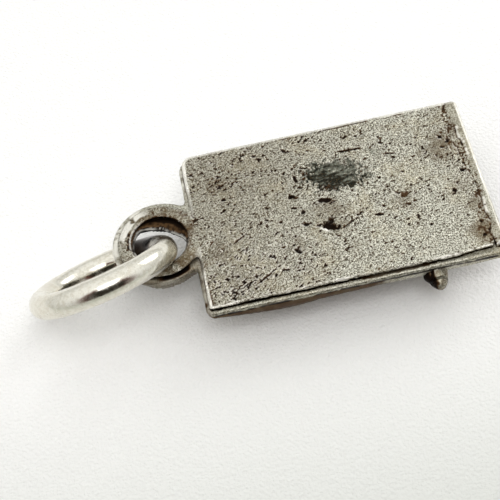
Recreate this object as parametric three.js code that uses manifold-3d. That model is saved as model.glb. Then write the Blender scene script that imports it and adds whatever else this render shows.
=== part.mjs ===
// A silver camera charm: a flat cast camera with a rough back, an eyelet on one short side and a loose
// jump ring. Millimetres, +Z up. The charm lies face down on its lens rim, with its back up, and the ring
// leans beside it. +X runs along the camera from the eyelet to the free end, and the camera's top side,
// with its knob, faces -Y.

import * as THREE from 'three';
import { mergeVertices } from 'three/addons/utils/BufferGeometryUtils.js';
import Module from 'manifold-3d';

const wasm = await Module();
wasm.setup();

// Body outline, seen from the back
const bodyLength = 15;
const bodyWidth = 9.6;
const cornerRadiusEyeletLow = 0.4;
const cornerRadiusEyeletHigh = 0.6;
const cornerRadiusEndHigh = 0.25;
const cornerRadiusEndLow = 0.3;
const leastCornerRadius = 0.12;
const edgeBevel = 0.05;

// Layers of the body, from the front plate up to the back
const raisedFrontHeight = 1.0;
const frontPlateThickness = 0.22;
const frameThickness = 0.28;
const grooveHeight = 0.07;
const coverSheetThickness = 0.17;

// How far each layer stays inside the body outline
const coverInset = 0.2;
const grooveDepth = 0.3;
const frontPlateInset = 0.05;
const seamGap = 0.04;
const endLipWidth = 0.45;

// Eyelet on the short side
const eyeletReach = 1.62;
const eyeletOuterRadius = 2.42;
const eyeletHoleRadius = 1.36;
const eyeletDepth = 0.42;
const coverEyeletStep = 0.3;
const coverHoleStep = 0.09;
const eyeletNeckFillet = 0.3;
const eyeletBevel = 0.1;

// Jump ring, with its lean and turn in degrees. It lies clear of the eyelet by at least the rest gap.
const ringMeanRadius = 3.315;
const ringWireRadius = 0.65;
const ringSlip = 0.295;
const ringSideShift = -1.51;
const ringLean = 42.4;
const ringTurn = -15.9;
const ringRestGap = 0.01;

// Raised camera front
const raisedFrontMargin = 1.05;
const raisedFrontCorner = 0.5;
const raisedFrontBevel = 0.18;
const panelThickness = 0.1;
const panelMargin = 0.3;
const panelCorner = 0.3;

// Top housing strip and viewfinder windows on the raised front
const housingMargin = 0.18;
const housingWidth = 1.17;
const housingHeight = 0.3;
const housingCorner = 0.2;
const housingBevel = 0.08;
const finderLength = 2.1;
const finderMargin = 0.11;
const finderHeight = 0.26;
const finderRim = 0.2;
const finderCorner = 0.1;
const finderBevel = 0.05;
const finderGlassRecess = 0.12;
const rangeWindowRadius = 0.3;
const rangeWindowHeight = 0.12;
const rangeWindowFromEnd = 4.1;

// Lens, from the mount flange to the rim that the charm rests on. The mount fits between two gaps.
const lensGapAtHousing = 0.15;
const lensGapAtPanelEdge = 0.3;
const mountHeight = 0.3;
const barrelStep = 0.35;
const barrelHeight = 0.5;
const barrelFlutes = 32;
const barrelFluteDepth = 0.08;
const rimOverhang = 0.15;
const rimHeight = 0.48;
const rimWidth = 0.9;
const rimBevel = 0.1;
const domeRise = 0.3;
const domeFootHeight = 0.06;

// Winding knob and shutter button on the camera's top side
const knobFromEnd = 3.64;
const knobRadius = 0.64;
const knobDiscHeight = 0.17;
const knobStemRadius = 0.3;
const knobTipRadius = 0.38;
const knobTipLength = 0.68;
const knobTipShift = 0.08;
const knobTipRounding = 0.12;
const knobStemGap = 0.04;
const knobBevel = 0.06;
const buttonFromEnd = 4.2;
const buttonRadius = 0.36;
const buttonLength = 0.4;
const buttonBevel = 0.08;

// Clearance between curved pieces that are soldered together, and between a disc and the edge beside it
const solderGap = 0.03;

// Facets
const roundSegments = 48;
const smallRoundSegments = 24;
const stepsPerFlute = 4;
const arcSegments = 8;
const domeSteps = 5;
const ringSegments = 72;
const wireSegments = 20;
const settlingRounds = 60;

// Heights worked out from the layers, and the eyelet's place and radii
const raisedFrontZ = rimHeight + barrelHeight + mountHeight;
const frontPlateZ = raisedFrontZ + raisedFrontHeight;
const frameZ = frontPlateZ + frontPlateThickness;
const coverZ = frameZ + frameThickness;
const sheetZ = coverZ + grooveHeight;
const backZ = sheetZ + coverSheetThickness;
const eyeletBottom = coverZ - eyeletDepth;
const eyeletX = -bodyLength / 2 - eyeletReach;
const coverEyeletRadius = eyeletOuterRadius - coverEyeletStep;
const coverHoleRadius = eyeletHoleRadius + coverHoleStep;

// Looks of the metal
const silver = { color: 0x9b9890, roughness: 0.42, metalness: 1 };
const brightSilver = { color: 0xd9d5ca, roughness: 0.18, metalness: 1 };
const darkSilver = { color: 0x6d685d, roughness: 0.55, metalness: 1 };

function solidOf(geometry) {
  const bare = geometry.clone();
  bare.deleteAttribute('normal');
  bare.deleteAttribute('uv');
  const merged = mergeVertices(bare, 1e-4);
  const mesh = new wasm.Mesh({
    numProp: 3,
    vertProperties: new Float32Array(merged.attributes.position.array),
    triVerts: new Uint32Array(merged.index.array),
  });
  return new wasm.Manifold(mesh);
}

function geometryOf(solid) {
  const mesh = solid.getMesh();
  const geometry = new THREE.BufferGeometry();
  geometry.setAttribute('position', new THREE.Float32BufferAttribute(mesh.vertProperties, 3));
  geometry.setIndex(new THREE.BufferAttribute(new Uint32Array(mesh.triVerts), 1));
  geometry.computeVertexNormals();
  return geometry;
}

function piece(name, geometry, look) {
  const mesh = new THREE.Mesh(geometry, new THREE.MeshStandardMaterial(look));
  mesh.name = name;
  return mesh;
}

// A slab of the given outline between two heights, with its edges broken by a small bevel.
function slab(shape, bottom, height, bevel) {
  const geometry = new THREE.ExtrudeGeometry(shape, {
    depth: height - 2 * bevel,
    bevelEnabled: bevel > 0,
    bevelThickness: bevel,
    bevelSize: bevel,
    bevelOffset: -bevel,
    bevelSegments: 1,
    curveSegments: arcSegments,
  });
  return geometry.translate(0, 0, bottom + bevel);
}

// A turned piece on the Z axis from [radius, height] points that start and end on the axis, going up.
function turned(profile, segments) {
  const points = profile.map(([radius, height]) => new THREE.Vector2(radius, height));
  return new THREE.LatheGeometry(points, segments).rotateX(Math.PI / 2);
}

// The same, standing on the camera's top side and pointing along -Y.
function turnedOnTop(profile, segments) {
  return turned(profile, segments).rotateX(Math.PI / 2);
}

// Rectangle with a radius of its own at each corner, counter-clockwise from the lower left.
function roundedRectangle(left, low, right, high, radii) {
  const [lowLeft, lowRight, highRight, highLeft] = radii;
  const shape = new THREE.Shape();
  shape.moveTo(left + lowLeft, low);
  shape.lineTo(right - lowRight, low);
  shape.absarc(right - lowRight, low + lowRight, lowRight, -Math.PI / 2, 0, false);
  shape.lineTo(right, high - highRight);
  shape.absarc(right - highRight, high - highRight, highRight, 0, Math.PI / 2, false);
  shape.lineTo(left + highLeft, high);
  shape.absarc(left + highLeft, high - highLeft, highLeft, Math.PI / 2, Math.PI, false);
  shape.lineTo(left, low + lowLeft);
  shape.absarc(left + lowLeft, low + lowLeft, lowLeft, Math.PI, 1.5 * Math.PI, false);
  return shape;
}

// The same with one radius at all four corners.
function evenRectangle(left, low, right, high, radius) {
  return roundedRectangle(left, low, right, high, Array(4).fill(radius));
}

// The body's corner radii when its outline is drawn in by an inset.
function bodyRadii(inset) {
  const corners = [cornerRadiusEyeletLow, cornerRadiusEndLow, cornerRadiusEndHigh, cornerRadiusEyeletHigh];
  return corners.map((radius) => Math.max(radius - inset, leastCornerRadius));
}

// Body outline drawn in by an inset, with the eyelet's lobe and its hole. A neck fillet joins lobe and body.
function outlineWithEyelet(inset, endInset, lobeRadius, holeRadius) {
  const left = -bodyLength / 2 + inset;
  const right = bodyLength / 2 - endInset;
  const high = bodyWidth / 2 - inset;
  const low = -high;
  const [lowLeft, lowRight, highRight, highLeft] = bodyRadii(inset);
  const filletX = left - eyeletNeckFillet;
  const filletReach = lobeRadius + eyeletNeckFillet;
  const filletY = Math.sqrt(filletReach ** 2 - (filletX - eyeletX) ** 2);
  const neckAngle = Math.atan2(filletY, filletX - eyeletX);

  const shape = new THREE.Shape();
  shape.moveTo(left + lowLeft, low);
  shape.lineTo(right - lowRight, low);
  shape.absarc(right - lowRight, low + lowRight, lowRight, -Math.PI / 2, 0, false);
  shape.lineTo(right, high - highRight);
  shape.absarc(right - highRight, high - highRight, highRight, 0, Math.PI / 2, false);
  shape.lineTo(left + highLeft, high);
  shape.absarc(left + highLeft, high - highLeft, highLeft, Math.PI / 2, Math.PI, false);
  shape.lineTo(left, filletY);
  shape.absarc(filletX, filletY, eyeletNeckFillet, 0, neckAngle - Math.PI, true);
  shape.absarc(eyeletX, 0, lobeRadius, neckAngle, 2 * Math.PI - neckAngle, false);
  shape.absarc(filletX, -filletY, eyeletNeckFillet, Math.PI - neckAngle, 0, true);
  shape.lineTo(left, low + lowLeft);
  shape.absarc(left + lowLeft, low + lowLeft, lowLeft, Math.PI, 1.5 * Math.PI, false);
  if (holeRadius > 0) {
    const hole = new THREE.Path();
    hole.absarc(eyeletX, 0, holeRadius, 0, 2 * Math.PI, true);
    shape.holes.push(hole);
  }
  return shape;
}

// Rough sheet that closes the back, with its own half of the eyelet. Its foot leaves a groove all round.
function backCover() {
  const endInset = endLipWidth + seamGap;
  const sheet = slab(outlineWithEyelet(coverInset, endInset, coverEyeletRadius, coverHoleRadius),
    sheetZ, coverSheetThickness, edgeBevel);
  const footInset = coverInset + grooveDepth;
  const footLobe = coverEyeletRadius - grooveDepth;
  const foot = slab(outlineWithEyelet(footInset, endInset + grooveDepth, footLobe, coverHoleRadius),
    coverZ, grooveHeight + edgeBevel, 0);
  return piece('back_cover', geometryOf(solidOf(sheet).add(solidOf(foot))), silver);
}

// Middle layer: the full outline, the outer half of the eyelet, and a lip at the free end of the cover.
function bodyFrame() {
  const outline = outlineWithEyelet(0, 0, eyeletOuterRadius, eyeletHoleRadius);
  const layer = solidOf(slab(outline, frameZ, frameThickness, edgeBevel));
  const lobe = solidOf(slab(outline, eyeletBottom, eyeletDepth, eyeletBevel));
  const besideBody = solidOf(new THREE.BoxGeometry(bodyLength, bodyWidth, backZ)
    .translate(-bodyLength, 0, backZ / 2));
  const lipLeft = bodyLength / 2 - endLipWidth;
  const lipOutline = roundedRectangle(lipLeft, -bodyWidth / 2, bodyLength / 2, bodyWidth / 2,
    [leastCornerRadius, cornerRadiusEndLow, cornerRadiusEndHigh, leastCornerRadius]);
  const lip = solidOf(slab(lipOutline, frameZ, backZ - frameZ, edgeBevel));
  return piece('body_frame', geometryOf(layer.add(lobe.intersect(besideBody)).add(lip)), silver);
}

function frontPlate() {
  const half = bodyLength / 2 - frontPlateInset;
  const halfWidth = bodyWidth / 2 - frontPlateInset;
  const outline = roundedRectangle(-half, -halfWidth, half, halfWidth, bodyRadii(frontPlateInset));
  return piece('front_plate', slab(outline, frontPlateZ, frontPlateThickness, edgeBevel), silver);
}

// Raised front, which the housing, the panel, the lens and the knobs are set out from
const raisedHalfLength = bodyLength / 2 - raisedFrontMargin;
const raisedHalfWidth = bodyWidth / 2 - raisedFrontMargin;
const housingLow = -raisedHalfWidth + housingMargin;
const housingHigh = housingLow + housingWidth;
const panelHigh = raisedHalfWidth - panelMargin;
const mountLow = housingHigh + lensGapAtHousing;
const mountRadius = (panelHigh - lensGapAtPanelEdge - mountLow) / 2;
const lensCentreY = mountLow + mountRadius;
const barrelRadius = mountRadius - barrelStep;
const rimRadius = barrelRadius + rimOverhang;
const rimBoreRadius = rimRadius - rimWidth;

// Shallow block on the front plate, which stands for the thick middle of the camera.
function raisedFront() {
  const outline = evenRectangle(-raisedHalfLength, -raisedHalfWidth, raisedHalfLength, raisedHalfWidth,
    raisedFrontCorner);
  return piece('raised_front', slab(outline, raisedFrontZ, raisedFrontHeight, raisedFrontBevel), silver);
}

// Grained panel below the housing strip. The lens mount stands in a hole through it.
function grainedPanel() {
  const side = raisedHalfLength - panelMargin;
  const outline = evenRectangle(-side, housingHigh + solderGap, side, panelHigh, panelCorner);
  const panel = solidOf(slab(outline, raisedFrontZ - panelThickness, panelThickness, 0));
  const holeRadius = mountRadius + solderGap;
  const hole = turned([[0, 0], [holeRadius, 0], [holeRadius, backZ], [0, backZ]], roundSegments);
  hole.translate(0, lensCentreY, 0);
  return piece('grained_panel', geometryOf(panel.subtract(solidOf(hole))), darkSilver);
}

function topHousing() {
  const side = raisedHalfLength - housingMargin;
  const outline = evenRectangle(-side, housingLow, side, housingHigh, housingCorner);
  const housing = slab(outline, raisedFrontZ - housingHeight, housingHeight, housingBevel);
  return piece('top_housing', housing, silver);
}

// Rectangular viewfinder frame on the housing strip, open at its front.
const finderY = (housingLow + housingHigh) / 2;
const finderZ = raisedFrontZ - housingHeight - finderHeight;

function finderOutline(inset) {
  const halfLength = finderLength / 2 - inset;
  const halfWidth = housingWidth / 2 - finderMargin - inset;
  return evenRectangle(-halfLength, finderY - halfWidth, halfLength, finderY + halfWidth, finderCorner);
}

function finderFrame() {
  const outline = finderOutline(0);
  outline.holes.push(finderOutline(finderRim));
  return piece('viewfinder_frame', slab(outline, finderZ, finderHeight, finderBevel), silver);
}

function finderWindow() {
  const outline = finderOutline(finderRim + finderBevel + solderGap);
  const glass = slab(outline, finderZ + finderGlassRecess, finderHeight - finderGlassRecess, 0);
  return piece('viewfinder_window', glass, darkSilver);
}

function rangeWindow() {
  const profile = [[0, 0], [rangeWindowRadius - finderBevel, 0], [rangeWindowRadius, finderBevel],
    [rangeWindowRadius, rangeWindowHeight], [0, rangeWindowHeight]];
  const window = turned(profile, smallRoundSegments);
  const place = -bodyLength / 2 + rangeWindowFromEnd;
  window.translate(place, finderY, raisedFrontZ - housingHeight - rangeWindowHeight);
  return piece('rangefinder_window', window, silver);
}

// Lens pieces stand on one axis. Each starts where the one above it ends.
function onLensAxis(name, geometry, bottom, look) {
  return piece(name, geometry.translate(0, lensCentreY, bottom), look);
}

function lensMount() {
  const profile = [[0, 0], [mountRadius - rimBevel, 0], [mountRadius, rimBevel], [mountRadius, mountHeight],
    [0, mountHeight]];
  return onLensAxis('lens_mount', turned(profile, roundSegments), raisedFrontZ - mountHeight, silver);
}

// Focusing barrel with shallow flutes round its side.
function lensBarrel() {
  const steps = barrelFlutes * stepsPerFlute;
  const outline = new THREE.Shape(Array.from({ length: steps }, (_, step) => {
    const angle = (step / steps) * 2 * Math.PI;
    const radius = barrelRadius - (barrelFluteDepth / 2) * (1 - Math.cos(angle * barrelFlutes));
    return new THREE.Vector2(radius * Math.cos(angle), radius * Math.sin(angle));
  }));
  return onLensAxis('lens_barrel', slab(outline, 0, barrelHeight, 0), rimHeight, silver);
}

// Ring round the front of the lens. The charm rests on its flat face.
function lensRim() {
  const profile = [[rimBoreRadius, rimBevel], [rimBoreRadius + rimBevel, 0], [rimRadius - rimBevel, 0],
    [rimRadius, rimBevel], [rimRadius, rimHeight], [rimBoreRadius, rimHeight], [rimBoreRadius, rimBevel]];
  return onLensAxis('lens_rim', turned(profile, roundSegments), 0, brightSilver);
}

// Domed disc that stands for the glass. It stays inside the rim, clear of what the rim rests on.
function lensDome() {
  const radius = rimBoreRadius - solderGap;
  const dome = Array.from({ length: domeSteps + 1 }, (_, step) => {
    const angle = (step / domeSteps) * (Math.PI / 2);
    return [radius * Math.sin(angle), domeRise * (1 - Math.cos(angle))];
  });
  const profile = [...dome, [radius, domeRise + domeFootHeight], [0, domeRise + domeFootHeight]];
  const bottom = rimHeight - domeRise - domeFootHeight;
  return onLensAxis('lens_dome', turned(profile, roundSegments), bottom, brightSilver);
}

// The knob's stem passes under the front plate's edge, and its disc stands just outside that edge.
const knobX = bodyLength / 2 - knobFromEnd;
const knobZ = frontPlateZ - knobStemGap - knobStemRadius;
const knobStemLength = bodyWidth / 2 + solderGap - raisedHalfWidth;

function windingKnob() {
  const end = knobStemLength + knobDiscHeight;
  const stem = [[0, 0], [knobStemRadius, 0], [knobStemRadius, knobStemLength]];
  const disc = [[knobRadius, knobStemLength], [knobRadius, end - knobBevel], [knobRadius - knobBevel, end]];
  const profile = [...stem, ...disc, [0, end]];
  const knob = turnedOnTop(profile, smallRoundSegments);
  return piece('winding_knob', knob.translate(knobX, -raisedHalfWidth, knobZ), silver);
}

function knobTip() {
  const rounding = Array.from({ length: arcSegments + 1 }, (_, step) => {
    const angle = (step / arcSegments) * (Math.PI / 2);
    return [knobTipRadius - knobTipRounding * (1 - Math.cos(angle)),
      knobTipLength - knobTipRounding * (1 - Math.sin(angle))];
  });
  const tip = turnedOnTop([[0, 0], [knobTipRadius, 0], ...rounding, [0, knobTipLength]], smallRoundSegments);
  const start = -raisedHalfWidth - knobStemLength - knobDiscHeight;
  return piece('knob_tip', tip.translate(knobX + knobTipShift, start, knobZ), silver);
}

function shutterButton() {
  const profile = [[0, 0], [buttonRadius, 0], [buttonRadius, buttonLength - buttonBevel],
    [buttonRadius - buttonBevel, buttonLength], [0, buttonLength]];
  const button = turnedOnTop(profile, smallRoundSegments);
  const place = -bodyLength / 2 + buttonFromEnd;
  const height = raisedFrontZ + raisedFrontHeight / 2;
  return piece('shutter_button', button.translate(place, -raisedHalfWidth, height), silver);
}

// Points on the edges of the eyelet's hole and rim, at both faces of each layer.
function eyeletEdgePoints() {
  const edges = [[coverHoleRadius, backZ], [coverHoleRadius, coverZ], [coverEyeletRadius, backZ],
    [eyeletHoleRadius, coverZ], [eyeletHoleRadius, eyeletBottom], [eyeletOuterRadius, eyeletBottom]];
  return edges.flatMap(([radius, height]) => Array.from({ length: roundSegments }, (_, step) => {
    const angle = (step / roundSegments) * 2 * Math.PI;
    return new THREE.Vector3(eyeletX + radius * Math.cos(angle), radius * Math.sin(angle), height);
  }));
}

// Moves the ring's centre level with the floor, away from any edge that its wire comes too near to.
function settleRing(centre, axis) {
  const edgePoints = eyeletEdgePoints();
  for (let round = 0; round < settlingRounds; round += 1) {
    for (const point of edgePoints) {
      const fromCentre = point.clone().sub(centre);
      const wireMiddle = fromCentre.clone().projectOnPlane(axis).setLength(ringMeanRadius);
      const away = wireMiddle.sub(fromCentre);
      const shortfall = ringWireRadius + ringRestGap - away.length();
      if (shortfall > 0) centre.add(away.setZ(0).setLength(shortfall));
    }
  }
  return centre;
}

// Closed ring of round wire through the eyelet. It leans, and its lowest point lies level with the lens rim.
function jumpRing() {
  const lean = THREE.MathUtils.degToRad(ringLean);
  const turn = THREE.MathUtils.degToRad(ringTurn);
  const level = Math.cos(lean);
  const axis = new THREE.Vector3(level * Math.sin(turn), level * Math.cos(turn), Math.sin(lean));
  const centre = new THREE.Vector3(eyeletX - ringMeanRadius + ringSlip, ringSideShift,
    ringMeanRadius * level + ringWireRadius);
  const wire = new THREE.TorusGeometry(ringMeanRadius, ringWireRadius, wireSegments, ringSegments);
  const ring = piece('jump_ring', wire, brightSilver);
  ring.quaternion.setFromUnitVectors(new THREE.Vector3(0, 0, 1), axis);
  ring.position.copy(settleRing(centre, axis));
  return ring;
}

const charm = new THREE.Group();
charm.add(backCover(), bodyFrame(), frontPlate(), raisedFront(), grainedPanel(), topHousing());
charm.add(finderFrame(), finderWindow(), rangeWindow(), lensMount(), lensBarrel(), lensRim(), lensDome());
charm.add(windingKnob(), knobTip(), shutterButton(), jumpRing());

// The origin is the middle of the footprint, ring included, at the height of the lens rim's face.
const nearest = (value) => Number(value.toFixed(2));
const middle = new THREE.Box3().setFromObject(charm, true).getCenter(new THREE.Vector3());
charm.position.set(-nearest(middle.x), -nearest(middle.y), 0);

export default charm;
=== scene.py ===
import functools
import math

import bmesh
import bpy
import numpy as np
from mathutils import Matrix, Vector

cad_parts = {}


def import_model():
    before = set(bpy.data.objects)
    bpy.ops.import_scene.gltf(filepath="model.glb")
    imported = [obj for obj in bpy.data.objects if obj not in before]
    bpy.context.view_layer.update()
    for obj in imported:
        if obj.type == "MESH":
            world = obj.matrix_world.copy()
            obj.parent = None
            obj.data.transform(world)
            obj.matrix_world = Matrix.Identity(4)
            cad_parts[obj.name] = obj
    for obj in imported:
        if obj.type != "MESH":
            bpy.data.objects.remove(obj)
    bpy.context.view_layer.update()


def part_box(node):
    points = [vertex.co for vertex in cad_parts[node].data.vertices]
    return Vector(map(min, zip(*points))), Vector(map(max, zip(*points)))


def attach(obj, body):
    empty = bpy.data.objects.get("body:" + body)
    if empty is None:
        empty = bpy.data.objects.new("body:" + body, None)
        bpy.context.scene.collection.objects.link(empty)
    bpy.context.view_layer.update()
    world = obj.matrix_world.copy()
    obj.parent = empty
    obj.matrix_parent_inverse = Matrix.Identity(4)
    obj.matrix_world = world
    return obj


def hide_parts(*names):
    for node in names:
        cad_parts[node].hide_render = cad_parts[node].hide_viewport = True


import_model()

# A small silver camera charm that lies face down, seen from its rough, pitted back, with a loose jump ring
# in its eyelet. Sizes are in millimetres, x and y from the middle of the body and z from the floor.

MM = 0.001
MIDDLE = sum(np.array(corner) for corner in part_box("front_plate")) / 2 / MM * [1, 1, 0]


def frame_box(node):
    """A node's low and high corner in millimetres round the body's middle."""
    low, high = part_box(node)
    return np.array(low) / MM - MIDDLE, np.array(high) / MM - MIDDLE


def round_box(node):
    """A round node's low corner, high corner, middle and radius."""
    low, high = frame_box(node)
    return low, high, (low + high) / 2, (high[0] - low[0]) / 2


frame_low, frame_high = frame_box("body_frame")
cover_low, cover_high = frame_box("back_cover")
plate_low, plate_high = frame_box("front_plate")

# Body and eyelet, as the frame has them
HALF_LENGTH = frame_high[0]
HALF_WIDTH = frame_high[1]
COVER_INSET = cover_low[1] - frame_low[1]
COVER_END = cover_high[0]
PLATE_INSET = plate_low[1] - frame_low[1]
EYELET_RADIUS = 2.42
EYELET_X = frame_low[0] + EYELET_RADIUS
COVER_EYELET_RADIUS = EYELET_X - cover_low[0]
EYELET_HOLE = 1.36
COVER_HOLE = 1.45
LEDGE_WIDTH = 0.54
LEDGE_ANGLE = math.radians(62)
LOBE_SAG = 0.24
# Directions from the eyelet's middle: its stretch of painted glare, and its darker soil blotches
LOBE_GLARE_ANGLE = math.radians(138)
LOBE_DARK_ANGLE = math.radians(180)
NECK_BLEND = 0.42
CORNERS = {"low_left": 0.4, "low_right": 0.3, "high_right": 0.25, "high_left": 0.8}
FAR_OUTSET = 0.2
LEAST_CORNER = 0.1

# Heights of the layers
BACK_Z = cover_high[2]
FRAME_TOP_Z = cover_low[2]
FRAME_LOW_Z = plate_high[2]
LOBE_LOW_Z = frame_low[2]
PLATE_LOW_Z = plate_low[2]
SHEET_LOW_Z = FRAME_TOP_Z + 0.07
DEEPEST_PIT = 0.13
GROOVE_DEPTH = 0.3
SEAM_GAP = 0.002

# Grid cells of the rough sheets
FINE_CELL = 0.04
MIDDLE_CELL = 0.06
COARSE_CELL = 0.1

# Camera, fitted to the photograph: 500 pixels across, focal length 1250 pixels
CAMERA_PLACE = Vector((-1.615, -35.29, 54.858)) * MM
CAMERA_UP = Vector((0.21006, 0.81555, 0.53921))
CAMERA_FORWARD = Vector((0.01787, 0.54822, -0.83614))
FOCAL_SHARE = 1250 / 500


# Noise and smooth steps on arrays of points

def ease(low, high, value):
    """0 at low and 1 at high, with a smooth rise between. It falls where low is above high."""
    share = np.clip((value - low) / (high - low), 0, 1)
    return share * share * (3 - 2 * share)


def most(*values):
    """The largest of several arrays, point by point."""
    return functools.reduce(np.maximum, values)


NOISE_TABLE = np.random.default_rng(1).uniform(-1, 1, (64, 64, 64))
NOISE_STEP = np.array([7.31, 3.77, 5.93])


def noise(points, size, seed):
    """Smooth noise from -1 to 1 with features about size across, at an array of points."""
    scaled = points / size + seed * NOISE_STEP
    corner = np.floor(scaled).astype(int)
    share = ease(0, 1, scaled - corner)
    total = 0
    for step in np.ndindex(2, 2, 2):
        weight = np.prod(np.where(step, share, 1 - share), axis=-1)
        i, j, k = np.moveaxis((corner + step) % 64, -1, 0)
        total = total + weight * NOISE_TABLE[i, j, k]
    return total


def mixed_noise(points, seed, *layers):
    """A sum of noises, given as pairs of strength and size, with seeds that count up from the first."""
    return sum(layer[0] * noise(points, layer[1], seed + number) for number, layer in enumerate(layers))


def flat_points(x, y):
    return np.stack([x, y, np.zeros_like(x)], axis=-1)


def flat_noise(x, y, size, seed):
    return noise(flat_points(x, y), size, seed)


def rotated(x, y, turn):
    """Lengths along and across a direction that is turned from the x axis."""
    return x * math.cos(turn) + y * math.sin(turn), y * math.cos(turn) - x * math.sin(turn)


# Outlines as distances: negative inside the metal

def rectangle_distance(x, y, low, high, radius):
    across = np.abs(x - (low[0] + high[0]) / 2) - (high[0] - low[0]) / 2 + radius
    along = np.abs(y - (low[1] + high[1]) / 2) - (high[1] - low[1]) / 2 + radius
    outside = np.hypot(most(across, 0), most(along, 0))
    return outside + np.minimum(most(across, along), 0) - radius


def body_distance(x, y, left, right, half_width, inset):
    """Distance to the edge of the body, whose corners each have a radius of their own."""
    radius = np.where(
        x < (left + right) / 2,
        np.where(y < 0, CORNERS["low_left"], CORNERS["high_left"]),
        np.where(y < 0, CORNERS["low_right"], CORNERS["high_right"]),
    )
    radius = most(radius - inset, LEAST_CORNER)
    return rectangle_distance(x, y, (left, -half_width), (right, half_width), radius)


def smooth_union(first, second, blend):
    share = np.clip(0.5 + 0.5 * (second - first) / blend, 0, 1)
    return second * (1 - share) + first * share - blend * share * (1 - share)


def eyelet_distance(x, y):
    return np.hypot(x - EYELET_X, y)


def eyelet_side(x, y, angle):
    """How nearly a place lies in one direction from the eyelet's middle, from -1 to 1."""
    return np.cos(np.arctan2(y, x - EYELET_X) - angle)


def layer_distance(x, y, inset, end, lobe_radius, hole_radius):
    """Distance to the edge of a body layer with its lobe of the eyelet."""
    box = body_distance(x, y, -HALF_LENGTH + inset, end, HALF_WIDTH - inset, inset)
    from_eyelet = eyelet_distance(x, y)
    solid = smooth_union(box, from_eyelet - lobe_radius, NECK_BLEND)
    return most(solid, hole_radius - from_eyelet)


def slope(distance, x, y, reach=0.01):
    """Unit direction in which a distance grows."""
    across = distance(x + reach, y) - distance(x - reach, y)
    along = distance(x, y + reach) - distance(x, y - reach)
    length = most(np.hypot(across, along), 1e-9)
    return across / length, along / length


# The crack between the cover and the lip at the free end. It wanders either side of a straight seam.

CRACK = [(-4.8, 6.98), (-4.3, 7.02), (-3.65, 6.86), (-3.0, 7.1), (-2.4, 6.96), (-1.5, 7.06), (0.6, 7.05),
         (1.5, 7.03), (2.15, 7.06), (2.35, 6.92), (2.85, 6.98), (3.3, 6.94), (3.65, 6.88), (4.07, 6.77),
         (4.42, 6.76), (4.66, 6.9), (4.8, 6.93)]


def crack_x(y):
    wander = mixed_noise(flat_points(np.zeros_like(y), y), 41, (0.025, 0.3), (0.012, 0.1))
    return np.interp(y, *np.array(CRACK).T) + wander


def crack_open(y):
    """How open the crack is: solder closes it along its middle stretch, and bridges it here and there."""
    stretch = ease(1.2, 1.9, y) + ease(-0.9, -1.7, y)
    bridges = ease(-0.55, 0.05, noise(flat_points(np.zeros_like(y), y), 0.22, 43))
    return np.clip(stretch * (0.25 + 0.75 * bridges), 0, 1)


def crack_gap(y):
    """Half width of the crack."""
    return SEAM_GAP * (0.3 + 0.7 * crack_open(y))


# The dark dent and the faint one beside it, as (x, y, half length, half width, angle in degrees)

DENT = (0.3, 1.7, 1.9, 1.08, -15)
DENT_DEPTH = 0.1
SMALL_DENT = (2.5, 2.75, 0.7, 0.33, -40)
FIBRE_ANGLE = math.radians(6)
PIT_ANGLE = math.radians(28)

# Other marks, as (x, y, half length, half width, angle in degrees, depth, soil)
MARKS = [
    (-0.62, -1.14, 0.4, 0.3, 62, 0.2, 1.0),
    (-0.62, -1.36, 0.4, 0.22, -28, 0.2, 1.0),
    (-1.08, -1.16, 0.16, 0.1, -20, 0.06, 1.0),
    (-0.24, -1.5, 0.2, 0.13, 35, 0.08, 1.0),
    (-0.08, 1.02, 0.62, 0.2, -22, 0.06, 0.9),
    (-1.05, 1.98, 0.34, 0.16, -50, 0.08, 0.8),
    (1.36, 3.04, 0.86, 0.075, -3, 0.06, 1.0),
    (3.3, 2.3, 0.4, 0.07, -14, 0.04, 0.8),
    (-0.5, 0.24, 0.5, 0.17, -14, 0.07, 1.0),
    (-2.08, 0.92, 0.26, 0.1, -14, 0.06, 1.0),
    (-2.2, 0.9, 0.1, 0.16, 0, 0.06, 0.9),
    (-1.76, -0.18, 0.12, 0.26, -20, 0.07, 1.0),
    (-1.74, -0.92, 0.26, 0.13, -10, 0.07, 1.0),
    (1.94, -1.25, 0.3, 0.11, -14, 0.06, 1.0),
    (2.25, -0.8, 0.2, 0.08, -14, 0.04, 0.8),
    (3.4, -0.4, 0.3, 0.2, 15, 0.05, 0.6),
    (3.5, -1.0, 0.26, 0.12, -14, 0.05, 0.7),
    (-1.96, 3.86, 0.22, 0.13, -50, 0.09, 1.0),
    (-2.45, -2.4, 0.28, 0.13, -35, 0.08, 1.0),
    (-2.62, -2.0, 0.12, 0.08, 30, 0.05, 1.0),
    (-1.2, 2.5, 0.42, 0.07, -20, 0.05, 1.0),
    (-1.72, 1.9, 0.1, 0.3, 12, 0.06, 1.0),
    (-1.6, 1.35, 0.16, 0.12, 0, 0.06, 0.9),
    (-4.25, -3.45, 0.8, 0.07, 32, 0.05, 0.7),
    (-3.3, -3.3, 0.3, 0.07, -14, 0.05, 0.8),
    (-5.9, -4.0, 0.26, 0.1, -40, 0.06, 0.8),
    (-5.6, 2.55, 0.12, 0.1, 0, 0.05, 0.8),
    (-5.2, -1.0, 0.55, 0.06, 30, 0.04, 0.7),
    (6.08, 2.62, 0.15, 0.13, 0, 0.08, 1.0),
    (6.4, 2.3, 0.14, 0.11, 0, 0.08, 1.0),
    (6.05, 1.98, 0.18, 0.09, -14, 0.07, 1.0),
    (6.62, 0.35, 0.13, 0.2, 20, 0.07, 1.0),
    (5.9, -0.8, 0.12, 0.18, 30, 0.05, 1.0),
    (6.6, -3.7, 0.15, 0.1, 20, 0.08, 0.9),
    (6.65, -2.9, 0.08, 0.16, 10, 0.06, 0.8),
    (2.22, 4.0, 0.09, 0.19, -20, 0.06, 1.0),
    (4.25, -2.5, 0.08, 0.1, 0, 0.05, 1.0),
]
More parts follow.
